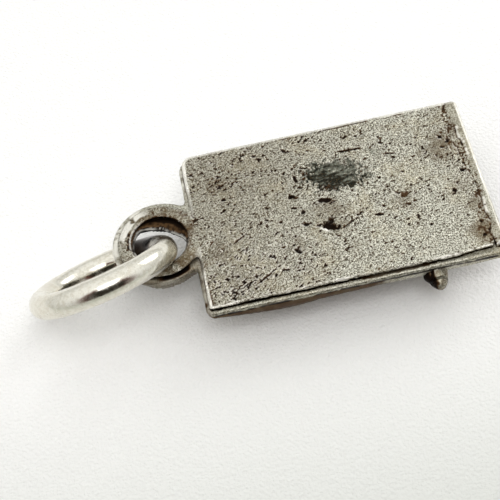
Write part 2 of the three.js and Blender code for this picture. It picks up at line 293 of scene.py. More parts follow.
# Painted highlight: a bright rim beside the black pit, and how far the painted bright side of each pit lies
# from its middle
BRIGHT_RIM = (-0.9, -1.5, 0.34, 0.09, -38)
GLINT_SHIFT = 0.055
# How far from a ridge its surroundings are sampled
RIDGE_STEPS = [(0.08, 0), (-0.08, 0), (0, 0.08), (0, -0.08)]
# Brown stains, as (x, y, radius, strength)
STAINS = [(-0.5, -0.3, 1.4, 0.5), (0.0, -1.4, 0.8, 0.5), (6.1, 2.2, 1.4, 0.7), (6.8, 3.1, 0.5, 0.6),
          (6.6, -3.5, 1.1, 0.75), (6.7, -1.9, 0.8, 0.55), (6.3, -0.6, 0.7, 0.35), (-5.62, 2.6, 1.2, 0.62),
          (-6.2, -1.6, 1.3, 0.6), (-2.4, -2.1, 0.8, 0.45), (-4.6, 3.6, 1.4, 0.3), (-5.4, -3.4, 1.8, 0.42),
          (0.3, -2.9, 0.8, 0.25), (3.4, -0.7, 0.9, 0.3), (-1.4, 3.2, 0.9, 0.2), (-7.4, -2.0, 0.8, 0.6)]


def mark_share(x, y, mark, seed):
    """1 in the middle of an oval mark, 0 outside its uneven edge."""
    place_x, place_y, half_length, half_width, angle = mark[:5]
    along, across = rotated(x - place_x, y - place_y, math.radians(angle))
    along, across = along / half_length, across / half_width
    near = (np.abs(along) < 2) & (np.abs(across) < 2)
    share = np.zeros_like(x)
    ragged = mixed_noise(flat_points(x[near], y[near]), seed, (0.42, 0.13), (0.34, 0.06))
    share[near] = ease(0.92, 0.52, np.hypot(along[near], across[near]) + ragged)
    return share


def coarse_share(x, y):
    """How dense and coarse the pitting is: most at the lower left, least at the lower right."""
    share = 0.45 + 0.5 * ease(3.0, -6.5, x) * ease(2.0, -3.5, y)
    share += 0.25 * ease(1.2, 0, np.hypot(x - 6.2, y - 1.8)) + 0.15 * ease(1.5, 4.5, y)
    return share - 0.25 * ease(1.0, 5.0, x) * ease(0.5, -3.0, y)


def pit_share(x, y):
    """Small uneven pits all over, a little longer one way, from noise that passes a threshold."""
    along, across = rotated(x, y, PIT_ANGLE)
    field = mixed_noise(flat_points(along * 0.68, across), 11, (0.56, 0.105), (0.5, 0.058), (0.2, 0.7))
    limit = 0.54 - 0.22 * coarse_share(x, y)
    return ease(limit, limit + 0.12, field)


def large_pits(x, y):
    """Scattered larger pits, with a random size, stretch and angle each."""
    random = np.random.default_rng(7)
    depth = np.zeros_like(x)
    for number in range(130):
        place_x = random.uniform(-HALF_LENGTH, HALF_LENGTH)
        place_y = random.uniform(-HALF_WIDTH, HALF_WIDTH)
        size = random.uniform(0.04, 0.085)
        mark = (place_x, place_y, size * random.uniform(1, 2.3), size, random.uniform(-30, 60))
        depth = most(depth, mark_share(x, y, mark, 100 + number) * random.uniform(0.6, 1))
    return depth * ease(0.1, 0.45, coarse_share(x, y))


def scratches(x, y):
    """Fine scratches between the eyelet and the middle, most of them near the lower corner."""
    random = np.random.default_rng(17)
    depth = np.zeros_like(x)
    for number in range(80):
        place_x = -HALF_LENGTH + 7 * random.uniform(0, 1) ** 1.4
        place_y = -HALF_WIDTH + 7 * random.uniform(0, 1) ** 1.6
        half_length, half_width = random.uniform(0.14, 0.4), random.uniform(0.03, 0.05)
        mark = (place_x, place_y, half_length, half_width, random.uniform(-20, 60))
        depth = most(depth, mark_share(x, y, mark, 500 + number) * random.uniform(0.3, 0.8))
    return depth


def dent_fibres(x, y):
    """Streaks that run along the bottom of the dent."""
    along, across = rotated(x, y, FIBRE_ANGLE)
    streaks = noise(flat_points(along * 0.25, across + 0.05 * flat_noise(x, y, 0.5, 7)), 0.075, 6)
    return 0.8 * streaks + 0.5 * flat_noise(x, y, 0.08, 8)


def dent_share(x, y):
    """The dark dent with its frayed edge, and the faint one beside it."""
    frayed = 0.2 * flat_noise(x, y, 0.35, 44) + 0.15 * dent_fibres(x, y)
    share = mark_share(x, y, DENT, 290)
    share = ease(0.05, 0.45, share + frayed * (share > 0.02) * (share < 0.98))
    return most(share, 0.3 * mark_share(x, y, SMALL_DENT, 296))


def back_relief(x, y):
    """Height of the cast back above its mean level."""
    coarse = coarse_share(x, y)
    height = mixed_noise(flat_points(x, y), 1, (0.03, 3.2), (0.014, 1.1), (0.004 + 0.02 * coarse, 0.34),
                         (0.01 + 0.022 * coarse, 0.14), (0.01, 0.08))
    height -= 0.035 * pit_share(x, y) + 0.06 * large_pits(x, y) + 0.04 * scratches(x, y)
    for number, mark in enumerate(MARKS):
        height -= mark[5] * mark_share(x, y, mark, 300 + 2 * number)
    dent = dent_share(x, y)
    height -= DENT_DEPTH * dent - 0.035 * dent * dent_fibres(x, y)
    return most(height, -DEEPEST_PIT)


def back_soil(x, y):
    """How much soil lies in the hollows of the back, and where the dark dent is, with painted shade on the
    dent's low side.
    """
    points = flat_points(x, y)
    soil = most(0.85 * pit_share(x, y), 0.88 * large_pits(x, y), 0.24 * scratches(x, y))
    for number, mark in enumerate(MARKS):
        soil = most(soil, mark[6] * mark_share(x, y, mark, 300 + 2 * number))
    crumbs = ease(0.05, 0.35, mixed_noise(points, 24, (1, 0.085), (0.4, 0.4)))
    reach = 0.3 + 0.8 * ease(1.3, 0.3, np.abs(y - 2.3)) + 0.6 * ease(1.4, 0.2, np.abs(y + 3.3))
    near_crack = ease(1, 0.2, np.abs(x - crack_x(y) + 0.1) / reach + 0.4 * noise(points, 0.3, 26))
    line = ease(0.075, 0.02, np.abs(x - crack_x(y))) * ease(-0.4, 0.1, noise(points, 0.12, 27))
    soil = most(soil, 0.66 * crumbs * near_crack, 0.95 * line * crack_open(y))
    dent = dent_share(x, y)
    # Painted shade: the dent is darker on its low side
    shaded_low_side = ease(0.5, -0.55, y - DENT[1] + 0.45 * (x - DENT[0]) + 0.25 * noise(points, 0.2, 9))
    tone = 0.4 + 0.42 * shaded_low_side + 0.66 * dent_fibres(x, y)
    return soil * (1 - dent), dent * np.clip(tone, 0.12, 1)


def ridge_wear_and_glints(x, y):
    """Where the relief stands above its surroundings, in the coarse corner beside the eyelet: rubbed wear
    with painted highlight.
    """
    coarse = ease(0.5, 0.8, coarse_share(x, y)) * ease(1.0, -2.5, x)
    near = coarse > 0
    x, y = x[near], y[near]
    around = sum(back_relief(x + step_x, y + step_y) for step_x, step_y in RIDGE_STEPS) / len(RIDGE_STEPS)
    coarse[near] *= ease(0.009, 0.02, back_relief(x, y) - around)
    return coarse


def stain_share(x, y):
    points = flat_points(x, y)
    ragged = mixed_noise(points, 21, (0.35, 0.5), (0.25, 0.2))
    # Besides the listed stains, the back is browner towards the left end, the far side and the free end.
    share = 0.26 * ease(2.5, -5.0, x) + 0.08 * ease(-1.5, 3.0, y) + 0.12 * ease(4.5, 6.5, x)
    for place_x, place_y, radius, strength in STAINS:
        reach = np.hypot(x - place_x, y - place_y) / radius + ragged
        share = most(share, strength * ease(1.0, 0.2, reach))
    along_crack = np.abs(x - crack_x(y)) + 0.08 * noise(points, 0.25, 23)
    return most(share, 0.8 * ease(0.22, 0.02, along_crack) * (0.3 + 0.7 * crack_open(y)))


# Mesh builders

def add_object(name, data):
    thing = bpy.data.objects.new(name, data)
    bpy.context.scene.collection.objects.link(thing)
    return thing


def make_object(name, points, faces):
    """A smooth mesh object from points in millimetres round the body's middle."""
    mesh = bpy.data.meshes.new(name)
    mesh.from_pydata(((points + MIDDLE) * MM).tolist(), [], [list(face) for face in faces])
    mesh.shade_smooth()
    return add_object(name, mesh)


def places(piece):
    """The piece's points, back in millimetres round the body's middle."""
    flat = np.zeros(len(piece.data.vertices) * 3, np.float32)
    piece.data.vertices.foreach_get("co", flat)
    return flat.reshape(-1, 3).astype(float) / MM - MIDDLE


def paint(piece, **layers):
    """Stores a value at each point for the materials: soil, stain, dent, or rubbed wear mixed with painted
    highlight.
    """
    for label, values in layers.items():
        layer = piece.data.attributes.get(label) or piece.data.attributes.new(label, "FLOAT", "POINT")
        layer.data.foreach_set("value", np.asarray(values, np.float32))


def outward(piece):
    """Turns every face of a closed piece to point out."""
    sheet = bmesh.new()
    sheet.from_mesh(piece.data)
    bmesh.ops.recalc_face_normals(sheet, faces=sheet.faces)
    sheet.to_mesh(piece.data)
    sheet.free()
    return piece


def kept_cells(distance, xs, ys, cell):
    """Which grid cells lie inside the outline, with no two touching only at a corner."""
    middle_x, middle_y = np.meshgrid(xs[:-1] + cell / 2, ys[:-1] + cell / 2, indexing="ij")
    inside = distance(middle_x, middle_y) < -0.3 * cell
    for _ in range(3):
        a, b, c, d = inside[:-1, :-1], inside[1:, :-1], inside[:-1, 1:], inside[1:, 1:]
        falling, rising = a & d & ~b & ~c, b & c & ~a & ~d
        inside[:-1, :-1] &= ~falling
        inside[1:, :-1] &= ~rising
    return inside


def grid_sheet(name, distance, low, high, cell, top, bottom, sides, crisp=False):
    """A closed sheet: a grid cut to an outline, with a top, a bottom, and rows of side points between.

    Each side row is (inset, height or function of x and y), from the top down to the bottom's border."""
    xs = np.arange(low[0] - cell, high[0] + 2 * cell, cell)
    ys = np.arange(low[1] - cell, high[1] + 2 * cell, cell)
    inside = kept_cells(distance, xs, ys, cell)
    index = np.arange(len(xs) * len(ys)).reshape(len(xs), len(ys))
    quads = np.stack([index[:-1, :-1], index[1:, :-1], index[1:, 1:], index[:-1, 1:]], axis=-1)[inside]
    used, quads = np.unique(quads, return_inverse=True)
    quads = quads.reshape(-1, 4)
    x, y = xs[used // len(ys)], ys[used % len(ys)]

    starts, ends = quads.ravel(), np.roll(quads, -1, axis=1).ravel()
    key, mirrored = starts * len(used) + ends, ends * len(used) + starts
    border = ~np.isin(key, mirrored)
    starts, ends = starts[border], ends[border]
    rim = np.unique(starts)
    for _ in range(4):
        across, along = slope(distance, x[rim], y[rim])
        off = distance(x[rim], y[rim])
        x[rim], y[rim] = x[rim] - off * across, y[rim] - off * along

    points = [np.stack([x, y, top(x, y)], axis=-1)]
    faces = [quads]
    place = np.zeros(len(used), int)
    place[rim] = np.arange(len(rim))
    across, along = slope(distance, x[rim], y[rim])
    above, below_start = rim, len(used)
    for inset, row_height in sides:
        row_z = row_height(x[rim], y[rim]) if callable(row_height) else np.full(len(rim), row_height)
        at = np.stack([x[rim], y[rim], row_z], axis=-1)
        row_inset = inset + mixed_noise(at, 31, (0.012, 0.9), (0.008, 0.2))
        row_x, row_y = x[rim] - row_inset * across, y[rim] - row_inset * along
        points.append(np.stack([row_x, row_y, row_z], axis=-1))
        below = below_start + np.arange(len(rim))
        faces.append(np.stack([above[place[ends]], above[place[starts]], below[place[starts]],
                               below[place[ends]]], axis=-1))
        above, below_start = below, below_start + len(rim)

    # The bottom repeats the top's grid, and its border is the last row of side points.
    points.append(np.stack([x, y, bottom(x, y)], axis=-1))
    new_index = below_start + np.arange(len(used))
    new_index[rim] = above
    faces.append(new_index[quads][:, ::-1])
    kept, faces = np.unique(np.concatenate(faces), return_inverse=True)
    piece = make_object(name, np.concatenate(points)[kept], faces.reshape(-1, 4).tolist())
    if crisp:
        ends = np.zeros(len(piece.data.edges) * 2, np.int32)
        piece.data.edges.foreach_get("vertices", ends)
        piece.data.edges.foreach_set("use_edge_sharp", np.isin(kept[ends.reshape(-1, 2)], rim).all(axis=1))
    return piece


def loft(name, rows, closed=False):
    """Quads between rows of points that go round. The ends are capped, or joined when closed."""
    rows = np.asarray(rows, float)
    index = np.arange(rows.shape[0] * rows.shape[1]).reshape(rows.shape[:2])
    if closed:
        index = np.concatenate([index, index[:1]])
    beside = np.roll(index, -1, axis=1)
    faces = np.stack([index[:-1], beside[:-1], beside[1:], index[1:]], axis=-1).reshape(-1, 4).tolist()
    if not closed:
        faces += [index[0][::-1].tolist(), index[-1].tolist()]
    return outward(make_object(name, rows.reshape(-1, 3), faces))


def edge_drop(depth, width, height):
    """How far a rounded edge falls below its level, at a depth in from the outline."""
    share = 1 - np.clip(depth / width, 0, 1)
    return height * (1 - np.sqrt(most(1 - share * share, 0)))


# The rough cover on the back, with its half of the eyelet

def low_inset(x, y):
    """How far the cover's edge lies in from its even outline along the camera's top side."""
    return ease(-4.0, -4.5, y) * ease(-7.0, -5.5, x) * (0.06 + 0.16 * ease(4.5, COVER_END, x))


def cover_y(y):
    """Stretches the cover's outline to the frame's edge on the far side."""
    return y - FAR_OUTSET * ease(3.0, 4.5, y)


def cover_depth(x, y):
    """Depth in from the cover's outline, with no edge at the crack and no hole."""
    plain = layer_distance(x, cover_y(y), COVER_INSET, COVER_END + 0.6, COVER_EYELET_RADIUS, 0)
    return -plain - low_inset(x, y)


def cover_distance(x, y):
    wear = mixed_noise(flat_points(x, y), 51, (0.018, 0.9), (0.012, 0.25))
    wear += 0.028 * flat_noise(x, y, 0.17, 55) * ease(-4.0, -4.4, y)
    end = crack_x(y) - crack_gap(y)
    shift = (end - COVER_END) * ease(5.5, 6.6, x)
    plain = layer_distance(x - shift, cover_y(y), COVER_INSET, COVER_END, COVER_EYELET_RADIUS, COVER_HOLE)
    return plain + wear * ease(COVER_END - 0.1, COVER_END - 0.4, x) + low_inset(x, y)


def lobe_share(x, y):
    """1 on the eyelet and 0 on the body."""
    beyond_end = ease(-HALF_LENGTH + 0.6, -HALF_LENGTH - 0.1, x)
    return beyond_end * ease(EYELET_RADIUS + 0.38, EYELET_RADIUS - 0.22, np.abs(y))


def low_left_edge(x, y):
    """1 along the short side between the eyelet and the camera's top side."""
    return ease(-HALF_LENGTH + 0.6, -HALF_LENGTH + 0.5, x) * ease(-1.5, -2.5, y)


def cover_top(x, y):
    lobe, depth = lobe_share(x, y), cover_depth(x, y)
    outer_drop = (1 - lobe) * edge_drop(depth, 0.09, 0.07) + lobe * edge_drop(depth, 0.5, 0.1)
    hole_drop = edge_drop(eyelet_distance(x, y) - COVER_HOLE, 0.12, 0.08)
    crack_drop = crack_open(y) * edge_drop(np.abs(x - crack_x(y)) - crack_gap(y), 0.06, 0.035)
    relief = back_relief(x, y) * (1 - 0.5 * lobe) * (0.35 + 0.65 * ease(0.02, 0.16, depth))
    return BACK_Z - most(outer_drop, hole_drop, crack_drop) + relief


def flat_at(height):
    return lambda x, y: np.full_like(x, height)


def cover_soil(spot, pitted, hole_soil_and_shade):
    """Soil in pits, hole and groove, in lines along two edges, and in blotches on the eyelet; in the hole
    and groove it is also painted shade.
    """
    x, y, z = spot.T
    outer, from_eyelet = cover_depth(x, y), eyelet_distance(x, y)
    depth = np.minimum(outer, from_eyelet - COVER_HOLE)
    # Soil and painted shade at the foot of the cover's side, in the groove
    soil_and_shade_in_groove = ease(SHEET_LOW_Z + 0.01, SHEET_LOW_Z, z) * ease(0.2, 0.02, depth)
    soil_and_shade_in_groove = soil_and_shade_in_groove * (0.55 + 0.45 * ease(3, -1, x))
    far_line = ease(0.05, 0.02, np.abs(depth - 0.19 - 0.03 * noise(spot, 0.6, 39))) * (y > 3.5)
    far_line = far_line * ease(-0.1, 0.2, noise(spot, 1.2, 40)) * ease(-3.5, -2.5, x)
    left_line = low_left_edge(x, y) * ease(0.07, 0.02, np.abs(outer - 0.2 - 0.04 * noise(spot, 0.4, 88)))
    left_line = left_line * ease(-0.4, 0.1, noise(spot, 0.3, 89))
    blotches = lobe_share(x, y) * ease(0.05, 0.35, mixed_noise(spot, 56, (1, 0.36), (0.5, 0.13)))
    dark_side = ease(0.75, 0.95, eyelet_side(x, y, LOBE_DARK_ANGLE))
    blotches = blotches * (0.3 * ease(2.2, 1.8, from_eyelet) + 0.5 * dark_side)
    pitted = pitted * ease(0.02, 0.14, depth)
    return most(pitted, 0.8 * far_line, 0.5 * left_line, hole_soil_and_shade, soil_and_shade_in_groove, blotches)


def cover_glints(spot, pitted):
    """Painted highlights on one side of each pit, and ridges rubbed bright with painted highlight."""
    x, y, z = spot.T
    above_groove = z > SHEET_LOW_Z + 0.02
    # Painted highlight: lightened just beside each pit, where the soil a small step up and right is deeper
    # than here
    glint = np.clip(back_soil(x + GLINT_SHIFT, y + GLINT_SHIFT)[0] - pitted, 0, 1)
    glint = glint * (0.25 + 0.6 * coarse_share(x, y)) * ease(0.0, 0.5, noise(spot, 0.3, 53))
    ridges = 0.5 * ridge_wear_and_glints(x, y)
    return most(glint * above_groove, mark_share(x, y, BRIGHT_RIM, 54), ridges * above_groove)


def cover_rims_and_highlights(spot):
    """Rubbed edges with painted highlight: the outline, the hole and the end beside the eyelet, and a
    stretch of painted glare on the eyelet.
    """
    x, y, z = spot.T
    outer, lobe = cover_depth(x, y), lobe_share(x, y)
    far_side = ease(3.8, 4.2, y)
    patchy = ease(-0.45, 0.25, mixed_noise(spot, 35, (1, 0.7), (0.5, 0.16)))
    patchy = most(patchy, 0.75 * far_side)
    width = 0.06 + 0.05 * far_side + 0.04 * ease(-HALF_LENGTH + 0.5, -HALF_LENGTH + 0.4, x)
    rim = ease(width + 0.07, width, outer + 0.03 * noise(spot, 0.3, 38)) * (1 - lobe)
    rim = rim * ease(SHEET_LOW_Z, SHEET_LOW_Z + 0.03, z)
    hole_rim = lobe * ease(0.1, 0.05, eyelet_distance(x, y) - COVER_HOLE)
    hole_rim = hole_rim * ease(0.2, -0.6, x - EYELET_X + 0.5 * y)
    end_rim = rim * ease(-HALF_LENGTH + 0.48, -HALF_LENGTH + 0.38, x) * (1 - lobe) * (z > SHEET_LOW_Z)
    end_rim = end_rim * (1 - 0.55 * low_left_edge(x, y) * ease(-0.3, 0.3, noise(spot, 0.35, 90)))
    # Painted highlight: glare on the eyelet's outer edge, towards one side
    band = lobe * ease(0.74, 0.94, eyelet_side(x, y, LOBE_GLARE_ANGLE)) * ease(0.03, 0.08, outer)
    band = band * ease(0.44, 0.36, outer + 0.08 * noise(spot, 0.3, 58))
    band = band * ease(-0.6, -0.1, noise(spot, 0.25, 59))
    return most(0.85 * rim * patchy, 0.7 * hole_rim * patchy, 0.95 * end_rim, 0.95 * band)


def back_sheet():
    sides = [(0.0, BACK_Z - 0.11), (0.01, SHEET_LOW_Z + 0.02), (0.04, SHEET_LOW_Z),
             (GROOVE_DEPTH, SHEET_LOW_Z), (GROOVE_DEPTH, FRAME_TOP_Z)]
    high = cover_high + [0, FAR_OUTSET, 0]
    piece = grid_sheet("back_sheet", cover_distance, cover_low, high, FINE_CELL, cover_top,
                       flat_at(FRAME_TOP_Z), sides, crisp=True)
    spot = places(piece)
    x, y, z = spot.T
    lobe, from_eyelet = lobe_share(x, y), eyelet_distance(x, y)
    pitted, dent = back_soil(x, y)
    pitted = pitted * (1 - 0.3 * lobe)
    # Soil and painted shade on the wall of the cover's hole
    hole_soil_and_shade = ease(COVER_HOLE + 0.1, COVER_HOLE, from_eyelet) * ease(BACK_Z - 0.03, BACK_Z - 0.09, z)
    mottled = 0.42 + 0.45 * noise(spot, 0.4, 37) + 0.35 * noise(spot, 0.13, 34) + 0.25 * ease(-0.6, -1.6, y)
    stain = most(stain_share(x, y), lobe * np.clip(mottled, 0, 0.9))
    # Painted highlights on the pits' sides and ridges, and rims rubbed bright with painted highlight, kept
    # off the hole
    off_edge = ease(0.02, 0.14, np.minimum(cover_depth(x, y), from_eyelet - COVER_HOLE))
    glints = cover_glints(spot, pitted * off_edge)
    worn = most(cover_rims_and_highlights(spot) * (1 - hole_soil_and_shade), 0.9 * glints)
    paint(piece, soil=cover_soil(spot, pitted, hole_soil_and_shade), dent=dent, stain=stain, worn=worn)
    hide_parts("back_cover")
    return piece


# The middle layer, with the outer half of the eyelet

def ledge_hole(x, y):
    """The lower half of the eyelet leaves a ledge on the far side of its hole."""
    return EYELET_HOLE - LEDGE_WIDTH * ease(0.22, 1.05, eyelet_side(x, y, LEDGE_ANGLE))


def frame_distance(x, y):
    wear = mixed_noise(flat_points(x, y), 61, (0.02, 1.3), (0.01, 0.3))
    return layer_distance(x, y, 0, HALF_LENGTH, EYELET_RADIUS, ledge_hole(x, y)) + wear


def frame_depth(x, y):
    """Depth in from the frame's outline, with no hole."""
    return -layer_distance(x, y, 0, HALF_LENGTH, EYELET_RADIUS, 0)


def frame_top(x, y):
    outer, from_hole = frame_depth(x, y), eyelet_distance(x, y) - ledge_hole(x, y)
    drop = most(edge_drop(outer, 0.09, 0.07), edge_drop(from_hole, 0.3, 0.12))
    uneven = mixed_noise(flat_points(x, y), 63, (0.01, 0.5), (0.006, 0.15))
    return FRAME_TOP_Z + 0.015 * ease(0.23, 0.18, outer) - 0.005 - drop + uneven


def frame_bottom(x, y):
    lobe = ease(-HALF_LENGTH - 0.05, -HALF_LENGTH - 0.12, x)
    sag = LOBE_SAG * ease(-0.6, -1.8, y) * ease(EYELET_X - 1.6, EYELET_X - 0.2, x)
    level = FRAME_LOW_Z + 0.01 + lobe * (LOBE_LOW_Z - sag - FRAME_LOW_Z)
    return level + edge_drop(-frame_distance(x, y), 0.08, 0.05)


def seam_share(x, y):
    """How wide the seam over the lower strip is open: most as far as the knob, and in patches elsewhere."""
    patches = flat_noise(x, y, 0.45, 69) + 0.4 * flat_noise(x, y, 0.16, 87)
    solid = ease(-1.0, 1.0, x) * ease(-3.0, -4.0, y) * ease(5.3, 4.7, x)
    return most(ease(-0.4, 0.5, patches), 0.85 * solid)


def seam_top(x, y):
    return FRAME_LOW_Z + 0.05 + 0.13 * seam_share(x, y)


def groove_soil_and_shade(spot):
    """Soil and painted shade in the groove round the cover, with a greyer stretch, and along the foot of
    the lip.
    """
    x, y, _ = spot.T
    grey_stretch = ease(-0.5, 1.0, x) * ease(4.4, 3.0, x)
    width = 0.03 + 0.02 * noise(spot, 0.4, 67) + 0.11 * grey_stretch - 0.03 * ease(3.5, 4.5, x)
    groove = ease(width + 0.02, width - 0.02, cover_distance(x, y)) * (1 - 0.85 * lobe_share(x, y))
    groove = groove * (1 - 0.62 * grey_stretch) * (x < COVER_END - 0.05)
    lip_foot = ease(0.15, 0.09, lip_outer(x, y)) * (x > COVER_END - 0.05) * (x < HALF_LENGTH - 0.15)
    return most(groove, 0.85 * lip_foot * ease(-0.6, -0.2, noise(spot, 0.3, 60)))


def ledge_tones(spot):
    """The hole of the eyelet, dark with soil and painted shade, and the bronze band of its ledge and its
    rim, rubbed bright with painted highlight.
    """
    x, y, z = spot.T
    from_eyelet = eyelet_distance(x, y)
    from_hole = from_eyelet - ledge_hole(x, y) + 0.04 * noise(spot, 0.2, 68)
    # Soil and painted shade in the eyelet's hole
    hole_soil_and_shade = ease(EYELET_HOLE + 0.3, EYELET_HOLE, from_eyelet)
    on_ledge = hole_soil_and_shade * ease(FRAME_TOP_Z - 0.2, FRAME_TOP_Z - 0.12, z)
    bronze = on_ledge * ease(0.06, 0.12, from_hole) * ease(0.46, 0.34, from_hole)
    # Rubbed wear and painted highlight along the ledge's rim
    rim = on_ledge * ease(0.07, 0.03, from_hole) * ease(-0.4, 0.1, noise(spot, 0.3, 80))
    return hole_soil_and_shade, bronze * (0.6 + 0.4 * noise(spot, 0.1, 79)), rim


def middle_layer():
    sides = [
        (-0.02, FRAME_TOP_Z - 0.1),
        (-0.02, lambda x, y: seam_top(x, y) + 0.01),
        (-0.01, lambda x, y: seam_top(x, y) - 0.02),
        (0.01, FRAME_LOW_Z + 0.025),
        (0.03, FRAME_LOW_Z + 0.015),
    ]
    piece = grid_sheet("middle_layer", frame_distance, frame_low, frame_high, MIDDLE_CELL, frame_top,
                       frame_bottom, sides)
    spot = places(piece)
    x, y, z = spot.T
    outer, lobe = frame_depth(x, y), lobe_share(x, y)
    upper = ease(FRAME_LOW_Z + 0.05, FRAME_TOP_Z - 0.1, z)
    patchy = ease(-0.2, 0.5, mixed_noise(spot, 65, (1, 0.5), (0.6, 0.15)))
    hole_soil_and_shade, bronze, ledge_rim = ledge_tones(spot)
    end_face = ease(-HALF_LENGTH + 0.25, -HALF_LENGTH + 0.1, x) * (1 - lobe)
    brown_end = 0.5 * end_face * ease(-1.0, -2.5, y)
    streaks = end_face * ease(-0.1, 0.3, noise(spot * [1, 0.5, 1.5], 0.14, 78))
    seam = ease(0.005, -0.01, z - seam_top(x, y)) * (1 - lobe)
    smear = ease(FRAME_LOW_Z + 0.26, FRAME_LOW_Z + 0.16, z + 0.08 * noise(spot, 0.5, 70)) * (1 - lobe)
    smear = smear * (y < 0) * ease(-3.6, -4.6, x) * ease(-0.3, 0.1, noise(spot, 0.6, 71))
    # Soil and painted shade in the gap under the eyelet's low side
    lobe_gap_soil_and_shade = ease(-0.3, -0.9, y) * ease(EYELET_X - 0.7, EYELET_X + 0.1, x)
    lobe_gap_soil_and_shade = lobe_gap_soil_and_shade * ease(-HALF_LENGTH - 0.25, -HALF_LENGTH - 0.5, x) * ease(0.06, 0.14, outer)
    faint = patchy * np.where(z < FRAME_LOW_Z - 0.02, 0.12, 0.06 + 0.12 * ease(2, -2, x))
    soil = most(upper * most(groove_soil_and_shade(spot), lobe_gap_soil_and_shade), faint, 0.9 * seam, 0.4 * smear,
                (0.2 + 0.35 * ease(1, -1, y)) * streaks, hole_soil_and_shade)
    # Rubbed wear with painted highlight: the outer edge, a stretch on the eyelet's low side, and the end
    # face
    left_band = ease(0.34, 0.2, outer) * ease(-1.8, -0.8, y) * ease(EYELET_X, EYELET_X - 1.2, x)
    edge = ease(0.1, 0.03, outer) * (1 - lobe) + lobe * left_band
    edge = 0.8 * edge * ease(-4.5, -3.5, y) * (1 - patchy)
    rubbed_and_highlit_end = 0.75 * end_face * (1 - streaks) * (1 - 0.6 * patchy)
    worn = most(most(edge, rubbed_and_highlit_end) * upper * (1 - hole_soil_and_shade), 0.55 * ledge_rim)
    stain = most(0.8 * hole_soil_and_shade, brown_end, 0.6 * lobe * ease(0, -1, y))
    paint(piece, soil=soil * (1 - 0.75 * bronze), stain=stain, worn=worn * (1 - brown_end))
    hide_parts("body_frame")
    return piece


# The smooth lip beyond the crack, which belongs to the middle layer

def lip_outer(x, y):
    outer = body_distance(x, y, -HALF_LENGTH, HALF_LENGTH, HALF_WIDTH, 0)
    return outer + low_inset(x, y) + COVER_INSET * ease(-4.0, -4.5, y)


def lip_distance(x, y):
    return most(lip_outer(x, y), crack_x(y) + crack_gap(y) - x)


def lip_top(x, y):
    points = flat_points(x, y)
    crack_drop = crack_open(y) * edge_drop(x - crack_x(y) - crack_gap(y), 0.08, 0.04)
    drop = most(crack_drop, edge_drop(-lip_outer(x, y), 0.16, 0.1))
    uneven = mixed_noise(points, 71, (0.012, 0.7), (0.006, 0.2))
    return BACK_Z - drop + uneven - 0.02 * ease(0.55, 0.75, noise(points, 0.14, 73))


def end_lip():
    low = np.array([min(value for _, value in CRACK) - 0.2, -HALF_WIDTH])
    sides = [(-0.01, BACK_Z - 0.14), (-0.01, FRAME_TOP_Z + 0.04)]
    piece = grid_sheet("end_lip", lip_distance, low, frame_high, FINE_CELL, lip_top,
                       flat_at(FRAME_TOP_Z - 0.02), sides, crisp=True)
    spot = places(piece)
    x, y, _ = spot.T
    outer, from_crack = -lip_outer(x, y), x - crack_x(y)
    in_crack = ease(0.07, 0.01, from_crack) * ease(-0.5, 0.1, noise(spot, 0.15, 73)) * crack_open(y)
    pits = back_soil(x, y)[0] * ease(0.35, 0.1, from_crack)
    patchy = ease(-0.5, 0.2, mixed_noise(spot, 74, (1, 0.7), (0.5, 0.16)))
    # Painted highlight: a broken bright line along the crack side of the lip; the outer edge is rubbed wear
    # with painted highlight
    rubbed = ease(0.09, 0.04, np.abs(from_crack - 0.12)) * (1 - pits)
    rubbed = rubbed * ease(0.8, 1.4, np.abs(y)) * (np.abs(y) < 3.1)
    rubbed = rubbed * ease(-0.4, 0.0, mixed_noise(spot, 76, (1, 0.5), (0.3, 0.12)))
    paint(piece, soil=most(0.9 * in_crack, 0.8 * pits), stain=0.7 * stain_share(x, y),
          worn=most(0.85 * ease(0.19, 0.09, outer) * (0.5 + 0.5 * patchy), 0.75 * rubbed))
    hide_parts("body_frame")
    return piece


# The lower strip of the edge, and how far its rim sags, as (x, sag)

PLATE_SAG = [(-7.3, 0.0), (-5.5, 0.28), (-3.5, 0.5), (-2.0, 0.32), (1.0, 0.2), (4.5, 0.2), (7.2, 0.05)]


def plate_distance(x, y):
    wear = mixed_noise(flat_points(x, y), 81, (0.03, 1.6), (0.012, 0.35))
    box = body_distance(x, y, -HALF_LENGTH + PLATE_INSET, HALF_LENGTH - PLATE_INSET,
                               HALF_WIDTH - PLATE_INSET, PLATE_INSET)
    return box + wear


def plate_top(x, y):
    return FRAME_LOW_Z - edge_drop(-plate_distance(x, y), 0.07, 0.04)


def plate_rim_z(x, y):
    """The rim of the strip hangs lower along the camera's top side, most of all towards the eyelet."""
    sag = np.interp(x, *np.array(PLATE_SAG).T) * ease(-3.95, -4.5, y)
    return PLATE_LOW_Z - sag


def plate_bottom(x, y):
    uneven = mixed_noise(flat_points(x, y), 83, (0.01, 0.6), (0.006, 0.2))
    return plate_rim_z(x, y) + edge_drop(-plate_distance(x, y), 0.08, 0.05) + uneven


